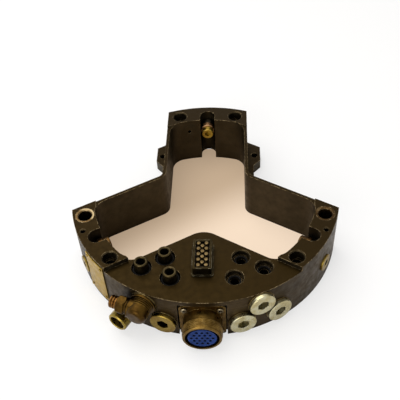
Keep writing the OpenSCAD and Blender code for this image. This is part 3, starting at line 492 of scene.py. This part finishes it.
# %% Brass, copper and gold
brown_brass = finish(
    "brass_brown", (72, 52, 18), (54, 37, 12), (146, 116, 58), gloss=0.36, wear=0.5, patch=140.0
)
dull_brass = finish(
    "brass_dull", (150, 128, 80), (118, 98, 58), (186, 166, 112), gloss=0.42, wear=0.4, patch=140.0
)
copper = finish("copper_tail", (114, 78, 34), (88, 58, 24), (170, 128, 80), gloss=0.3, wear=0.5, patch=200.0)
gold = finish(
    "contact_gold", (112, 94, 62), (86, 70, 42), (160, 146, 110),
    gloss=0.42, wear=0.4, tooth=6000.0, patch=300.0,
)
contact_pins = [name for name in nodes if name.startswith("contact_pin_")]
dress(brown_brass, "elbow_adapter", "elbow_body", "branch_nut", "union_adapter")
dress(dull_brass, "port_washers")
dress(copper, "branch_tail")
dress(gold, "contact_barrels", *contact_pins)
print("gold on", len(contact_pins), "contact pins")

# %% [markdown]
# The connector's shell has olive cadmium plating round a blue insert whose
# sockets are painted near-black, as painted shade down their holes, and the
# nameplate is gold-anodised sheet with nothing on it. The shell stands clear of
# the body, so its painted shade in recesses is kept light.

# %% Connector and nameplate
olive = finish(
    "cadmium_olive", (104, 80, 36), (78, 58, 24), (168, 142, 86), gloss=0.38, wear=0.6, patch=150.0, recess_darkening=0.4
)
blue = finish(
    "insert_blue", (6, 44, 106), (5, 34, 86), (20, 62, 124),
    gloss=0.55, metal=0.0, wear=0.2, patch=200.0, shine=0.15,
)
# Near-black on the sockets stands for painted shade down their holes.
socket = finish(
    "socket_dark", (20, 26, 40), (14, 18, 30), (60, 60, 66), gloss=0.5, metal=0.6, wear=0.2, shine=0.1
)
plate = finish(
    "nameplate_gold", (164, 136, 58), (144, 117, 46), (206, 184, 120), gloss=0.4, wear=0.4, patch=90.0
)
dress(olive, "connector_shell")
dress(blue, "connector_insert")
dress(socket, "connector_sockets")
dress(plate, "nameplate", "nameplate_pins")
print("connector:", olive.name, blue.name, socket.name)

# %% [markdown]
# The insulator of the contact block is a brown-black plastic, and the seals
# are rubber. Neither is a metal, and both are matt, so they get a rough, low
# shine and a pale bloom at their edges instead of bare metal.

# %% Plastic and rubber
black_plastic = finish(
    "contact_plastic", (40, 23, 8), (28, 16, 6), (60, 42, 24), gloss=0.7, metal=0.0, wear=0.3, shine=0.05
)
rubber = finish(
    "port_rubber", (9, 8, 7), (14, 12, 10), (30, 27, 22), gloss=0.75, metal=0.0, wear=0.3, shine=0.1
)
dress(black_plastic, "contact_insulator")
dress(rubber, "nozzle_seals", "seat_seals", "connector_gasket", "connector_seal")
print("matt:", black_plastic.name, rubber.name)

# %% [markdown]
# ## New pieces
#
# Each new piece is a grid of points: rows that follow each other, each of them
# a ring. The faces could be added one at a time, but they are all alike, so
# their corners are worked out at once as arrays of indices, and one call puts
# them into a mesh. Edges that turn more than 35 degrees stay sharp. A piece
# rides on the body that it moves with.

# %% Mesh from rings
SHARP = 35


def new_piece(name, rows, closed, material, body):
    """A mesh from rings of points, each row joined to the next.

    Where closed, the last row joins the first; otherwise both ends get flat caps.
    """
    count, steps = rows.shape[:2]
    index = np.arange(count * steps).reshape(count, steps)
    low = index if closed else index[:-1]
    high = np.roll(index, -1, axis=0) if closed else index[1:]
    quads = np.stack([low, np.roll(low, -1, axis=1), np.roll(high, -1, axis=1), high], axis=-1)
    caps = [] if closed else [index[0][::-1].tolist(), index[-1].tolist()]
    mesh = bpy.data.meshes.new(name)
    mesh.from_pydata(rows.reshape(-1, 3), [], quads.reshape(-1, 4).tolist() + caps)
    mesh.shade_smooth()
    mesh.set_sharp_from_angle(angle=math.radians(SHARP))
    mesh.materials.append(material)
    piece = bpy.data.objects.new(name, mesh)
    bpy.context.scene.collection.objects.link(piece)
    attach(piece, body)
    return piece


print("edges over", SHARP, "degrees stay sharp")

# %% [markdown]
# O-rings, barrels and threads are all one shape: a profile carried round an
# axis. A Screw modifier could turn a profile too, but not one that changes as
# it goes round, as a thread does. So the surface is worked out with arrays: the
# profile is a list of steps along the axis and distances out from it, and a
# thread adds a ridge that climbs with the turn.


# %% Surface of revolution
def revolve(profile, origin, axis, steps=96, ridge=None):
    """Rings of points: origin + along * a + (out + ridge) * (u cos t + v sin t).

    a is the axis, u and v stand square to it and to each other, and t is the turn.
    """
    along, out = np.array(profile, float).T
    a = np.array(axis, float) / np.linalg.norm(axis)
    u = np.cross(a, (0, 0, 1) if abs(a[2]) < 0.9 else (1, 0, 0))
    u = u / np.linalg.norm(u)
    v = np.cross(a, u)
    t = np.arange(steps) * 2 * np.pi / steps
    spin = np.cos(t)[:, None] * u + np.sin(t)[:, None] * v
    reach = out[:, None] + (ridge(along[:, None], t[None]) if ridge else 0)
    return np.array(origin) + along[:, None, None] * a + reach[..., None] * spin


print("a test ring has", revolve([(0, 1)], (0, 0, 0), (0, 0, 1)).shape[1], "points")

# %% [markdown]
# An O-ring lies at the bottom of the recess round each nozzle, where the other
# half's sleeve presses on it. The solids stand in for it with a plain ring, so
# this is the true form: a small circle carried round a bigger one.

# %% Nozzle seals
CORD_RADIUS, CLEARANCE, CORD_POINTS = 0.0012, 0.0001, 24

recess_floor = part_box("nozzle_seals")[0][2]
around = np.linspace(0, 2 * np.pi, CORD_POINTS, endpoint=False)
for which in ("inner", "middle", "outer"):
    low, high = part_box("nozzle_" + which)
    ring_radius = (high[0] - low[0]) / 2 + CORD_RADIUS + CLEARANCE
    cord = np.stack([CORD_RADIUS * np.sin(around), ring_radius + CORD_RADIUS * np.cos(around)], axis=1)
    centre = (*middle("nozzle_" + which)[:2], recess_floor + CORD_RADIUS)
    o_ring = new_piece("o_ring_" + which, revolve(cord, centre, (0, 0, 1)), True, rubber, "changer")
    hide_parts("nozzle_seals")
print("O-rings of", CORD_RADIUS * 2000, "mm cord")

# %% [markdown]
# The connector's shell has a coupling thread round its front. A bump in the
# material would vanish at the outline, and the thread shows there, so it is
# cut in the mesh: a sleeve just over the shell, with a wave along the axis
# that moves on by one pitch each turn and fades at both ends, as a cut thread
# does. The shell's radius is measured behind its chamfered nose.

# %% Coupling thread
PITCH, RIDGE = 0.0016, 0.0005
THREAD_START, THREAD_LENGTH, THREAD_ROWS = 0.002, 0.0085, 60
CREST, ROOT = 1.6, 0.3  # the wave is stretched and cut, so crests and roots are flat
OVER, UNDER, MEASURED = 0.00005, 0.0004, 0.012


def points_of(name):
    """Every corner of a solid's mesh, in metres."""
    vertices = nodes[name].data.vertices
    numbers = np.empty(len(vertices) * 3, np.float32)
    vertices.foreach_get("co", numbers)
    return numbers.reshape(-1, 3).astype(float)


shell_low, shell_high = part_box("connector_shell")
front, shell_level = shell_low[1], (shell_low[2] + shell_high[2]) / 2
shell = points_of("connector_shell")
barrel_end = shell[shell[:, 1] < front + MEASURED]
shell_radius = np.hypot(barrel_end[:, 0], barrel_end[:, 2] - shell_level).max()


def coupling(along, turn):
    """A wave along the thread, one pitch on for each turn, faded at both ends."""
    wave = 0.5 + 0.5 * np.cos(2 * np.pi * (along / PITCH - turn / (2 * np.pi)))
    fade = np.clip(np.minimum(along, THREAD_LENGTH - along) / PITCH, 0, 1)
    return RIDGE * np.clip(CREST * wave - ROOT, 0, 1) * fade


run = np.linspace(0, THREAD_LENGTH, THREAD_ROWS)
sleeve = np.stack([run, np.full(THREAD_ROWS, shell_radius + OVER)], axis=1)
sunk = shell_radius - UNDER
sleeve = np.concatenate([[(0, sunk)], sleeve, [(THREAD_LENGTH, sunk)]])
thread_rows = revolve(sleeve, (0, front + THREAD_START, shell_level), (0, 1, 0), steps=128, ridge=coupling)
thread = new_piece("coupling_thread", thread_rows, True, olive, "changer")
print("thread round a shell of radius", round(float(shell_radius), 4))

# %% [markdown]
# Each spring contact ends in a broad button with a rounded rim, wider than the
# plain head that the solids have. The rim catches the light, so it is turned
# from a quarter round and not left to a bump. A button rides on its own pin,
# so it sinks with it.

# %% Contact buttons
BUTTON, ROUND, STEM, HEAD = 0.00185, 0.0004, 0.0008, 0.0012


def button(stem_low, head_low, top):
    """A stem, then a disc whose rim is a quarter round above and below."""
    arc = np.linspace(-np.pi / 2, np.pi / 2, 13)
    rise = (top - head_low) / 2
    rim = np.stack([head_low + rise + rise * np.sin(arc), BUTTON - ROUND + ROUND * np.cos(arc)], axis=1)
    return np.concatenate([[(stem_low, STEM), (head_low, STEM)], rim])


for number in range(1, len(contact_pins) + 1):
    name = f"contact_pin_{number}"
    spot, corners = middle(name), points_of(name)
    in_head = np.hypot(corners[:, 0] - spot[0], corners[:, 1] - spot[1]) > HEAD
    profile = button(corners[:, 2].min(), corners[in_head, 2].min(), corners[:, 2].max())
    rows = revolve(profile, (spot[0], spot[1], 0), (0, 0, 1), steps=32)
    piece = new_piece(f"button_{number}", rows, False, gold, f"pin_{number}")
    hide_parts(name)
print(len(contact_pins), "buttons,", BUTTON * 2000, "mm across")

# %% [markdown]
# The elbow is a hot-forged knuckle: a barrel with a rounded nose and rings at
# its foot, and a neck that swells where it grows out of the barrel. Sculpting
# could give the same lumps, but both forms are round about an axis, so two
# turned pieces that run into each other are simpler and stay exact. The swivel
# joint gives the barrel's axis, and the nut beside it says where the neck goes.

# %% Elbow: measures
swivel = next(joint for joint in frame["record"]["behaviour"]["joints"] if joint["name"] == "elbow_swivel")
pivot, axle = np.array(swivel["pos_m"]), np.array(swivel["axis"])
elbow = points_of("elbow_body") - pivot
height = elbow @ axle
foot, tip = height.min(), height.max()
nut = middle("branch_nut") - pivot
branch = nut - (nut @ axle) * axle
branch = branch / np.linalg.norm(branch)
behind = elbow @ branch < 0
barrel = np.linalg.norm(elbow - height[:, None] * axle, axis=1)[behind].max()
neck_end = (elbow @ branch).max()
print("barrel of radius", round(float(barrel), 4), "and neck", round(float(neck_end), 4), "m out")

# %% [markdown]
# The rings at the foot are a cosine wave cut into the barrel, three pitches
# long. The neck starts inside the barrel, so that no gap shows between them,
# and its swelling fades as forging fillets do, fast at first and then slowly.

# %% Elbow: knuckle and neck
NOSE, SKIN = 0.0045, 0.0002
RINGS, RING_PITCH, RING_DEPTH = 0.0054, 0.0018, 0.0011
NECK, NECK_START = 0.00675, 0.004
SWELL, SWELL_FROM, SWELL_FADE = 0.0022, 0.0085, 0.0011


def knuckle(samples=90):
    """Rings at the foot, a straight barrel, then a quarter round of radius NOSE."""
    straight = np.linspace(foot, tip - NOSE, samples)
    groove = 0.5 - 0.5 * np.cos(2 * np.pi * (straight - foot) / RING_PITCH)
    skin = barrel - np.where(straight < foot + RINGS, RING_DEPTH * groove, SKIN)
    turn = np.linspace(0, np.pi / 2, 12)[1:]
    quarter = np.stack([tip - NOSE + NOSE * np.sin(turn), skin[-1] - NOSE * (1 - np.cos(turn))], axis=1)
    return np.concatenate([np.stack([straight, skin], axis=1), quarter])


def neck(samples=40):
    """A tube that swells near the barrel and narrows to NECK as an exponential of the way out."""
    steps_out = np.linspace(NECK_START, neck_end, samples)
    swelling = SWELL * np.exp(-np.clip(steps_out - SWELL_FROM, 0, None) / SWELL_FADE)
    return np.stack([steps_out, NECK + swelling], axis=1)


for name, profile, axis in (("elbow_knuckle", knuckle(), axle), ("elbow_neck", neck(), branch)):
    piece = new_piece(name, revolve(profile, pivot, axis), False, brown_brass, "elbow")
    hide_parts("elbow_body")
    print(name, "with", len(piece.data.polygons), "faces")

# %% [markdown]
# ## Studio
#
# The changer lies on a pale floor under soft light. A floor lit by lamps alone
# comes out grey with a hard shadow, and more light would burn out the zinc. So
# the camera, and nothing else, sees a share of the floor's own white, which
# lifts the floor, softens the shadow and adds no light to the part.

# %% Studio surfaces
SELF_LIT, ROUGH, SHINE = 0.6, 0.9, 0.1


def matte(name, base):
    """A plain matte material for the studio."""
    material = bpy.data.materials.new(name)
    material.use_nodes = True
    shader = material.node_tree.nodes["Principled BSDF"].inputs
    shader["Base Color"].default_value = colour(*base)
    shader["Roughness"].default_value = ROUGH
    shader["Specular IOR Level"].default_value = SHINE
    return material


def self_lit(material, tone):
    """Lets the camera, and nothing else, see a SELF_LIT share of a tone, which is a colour or a socket."""
    tree = material.node_tree
    glow = add(tree, "ShaderNodeEmission", Color=tone).outputs[0]
    to_camera = add(tree, "ShaderNodeLightPath").outputs["Is Camera Ray"]
    share = math_node(tree, "MULTIPLY", to_camera, SELF_LIT)
    lit = tree.nodes["Principled BSDF"].outputs[0]
    blend = add(tree, "ShaderNodeMixShader", Fac=share, i1=lit, i2=glow)
    tree.links.new(blend.outputs[0], tree.nodes["Material Output"].inputs["Surface"])


print("the camera sees", SELF_LIT, "of a surface's own tone")

# %% [markdown]
# The floor is one flat square. A curved backdrop would hide where it ends, but
# it would also close the back to other views, so the floor is only made so wide
# that its far edge is faint. It lies a little under the part, so that two faces
# never share a level.

# %% Floor
FLOOR_HALF, FLOOR_LEVEL = 3.0, -0.0006


def sheet(name, corners, level, material):
    """A flat sheet with its corners, in order, at one level."""
    mesh = bpy.data.meshes.new(name)
    mesh.from_pydata([(x, y, level) for x, y in corners], [], [tuple(range(len(corners)))])
    mesh.materials.append(material)
    thing = bpy.data.objects.new(name, mesh)
    bpy.context.scene.collection.objects.link(thing)
    return thing


floor_white = matte("floor_white", (250, 248, 245))
self_lit(floor_white, colour(255, 255, 255))
square = [(x * FLOOR_HALF, y * FLOOR_HALF) for x, y in ((-1, -1), (1, -1), (1, 1), (-1, 1))]
floor = sheet("floor", square, FLOOR_LEVEL, floor_white)
print("floor", 2 * FLOOR_HALF, "m wide")

# %% [markdown]
# Through the Y-shaped opening the part shows what it lies on, a sheet of buff
# board. A square sheet would stick out between the arms, so its outline follows
# the three arms and ends out of sight under them. More light falls on it at the
# front right, and a second colour there stands for that.

# %% Board under the opening
DARK_BUFF, PALE_BUFF = (200, 175, 147), (255, 231, 205)
BOARD_LEVEL, ARM_HALF, ARM_REACHES = -0.0002, 0.0415, (0.1225, 0.115, 0.115)
LEAN, LEAN_RANGE = 0.7, (-0.06, 0.03)


def arms(half, reaches):
    """Corners of three bars, half wide to each side, 120 degrees apart, the back one first."""
    inner = half / math.sin(math.radians(60))
    corners = []
    for angle, reach in zip((90, 210, 330), reaches):
        a, b = math.radians(angle), math.radians(angle + 60)
        along, across = Vector((math.cos(a), math.sin(a))), Vector((-math.sin(a), math.cos(a)))
        corners += [along * reach - across * half, along * reach + across * half]
        corners.append(Vector((math.cos(b), math.sin(b))) * inner)
    return corners


def drift(tree):
    """0 at the back left of the opening and 1 at its front right, along LEAN * x - y."""
    axes = split(tree, place(tree))
    along = math_node(tree, "SUBTRACT", math_node(tree, "MULTIPLY", axes["X"], LEAN), axes["Y"])
    return ramp(tree, along, *LEAN_RANGE)


board_buff = matte("board_buff", DARK_BUFF)
tree = board_buff.node_tree
buff = mix(tree, drift(tree), colour(*DARK_BUFF), colour(*PALE_BUFF))
tree.links.new(buff, tree.nodes["Principled BSDF"].inputs["Base Color"])
self_lit(board_buff, buff)
outline = arms(ARM_HALF, ARM_REACHES)
board = sheet("board", outline, BOARD_LEVEL, board_buff)
print("board with", len(outline), "corners")

# %% [markdown]
# Two broad soft boxes light the part: a key from above and a little behind, and
# a fill from the front left for the rim. The world is white to the camera, so a
# white page surrounds the part, and to mirrors, so that metal shows the page.
# To everything else it is dimmer, because more light would bleach the part.

# %% Lamps and world
WORLD_LIGHT = 0.45


def lamp(name, position, size, watts):
    """A square soft box at a position, turned to the origin."""
    data = bpy.data.lights.new(name, "AREA")
    data.energy, data.size = watts, size
    thing = bpy.data.objects.new(name, data)
    thing.location = position
    thing.rotation_euler = (-Vector(position)).to_track_quat("-Z", "Y").to_euler()
    bpy.context.scene.collection.objects.link(thing)


lamp("key", (-0.35, 0.25, 1.3), size=1.3, watts=14)
lamp("fill", (-0.5, -1.2, 0.7), size=0.9, watts=9)
world = bpy.data.worlds.new("studio")
bpy.context.scene.world = world
world.use_nodes = True
tree = world.node_tree
sky = tree.nodes["Background"].inputs
sky["Color"].default_value = (1, 1, 1, 1)
rays = add(tree, "ShaderNodeLightPath").outputs
page = math_node(tree, "MAXIMUM", rays["Is Camera Ray"], rays["Is Glossy Ray"])
page = math_node(tree, "MAXIMUM", page, rays["Is Transmission Ray"])
strength = add(tree, "ShaderNodeMapRange", Value=page, To_Min=WORLD_LIGHT, To_Max=1.0)
tree.links.new(strength.outputs["Result"], sky["Strength"])
bpy.context.scene.view_settings.view_transform = "Standard"
print("two lamps and a pale world of strength", WORLD_LIGHT)
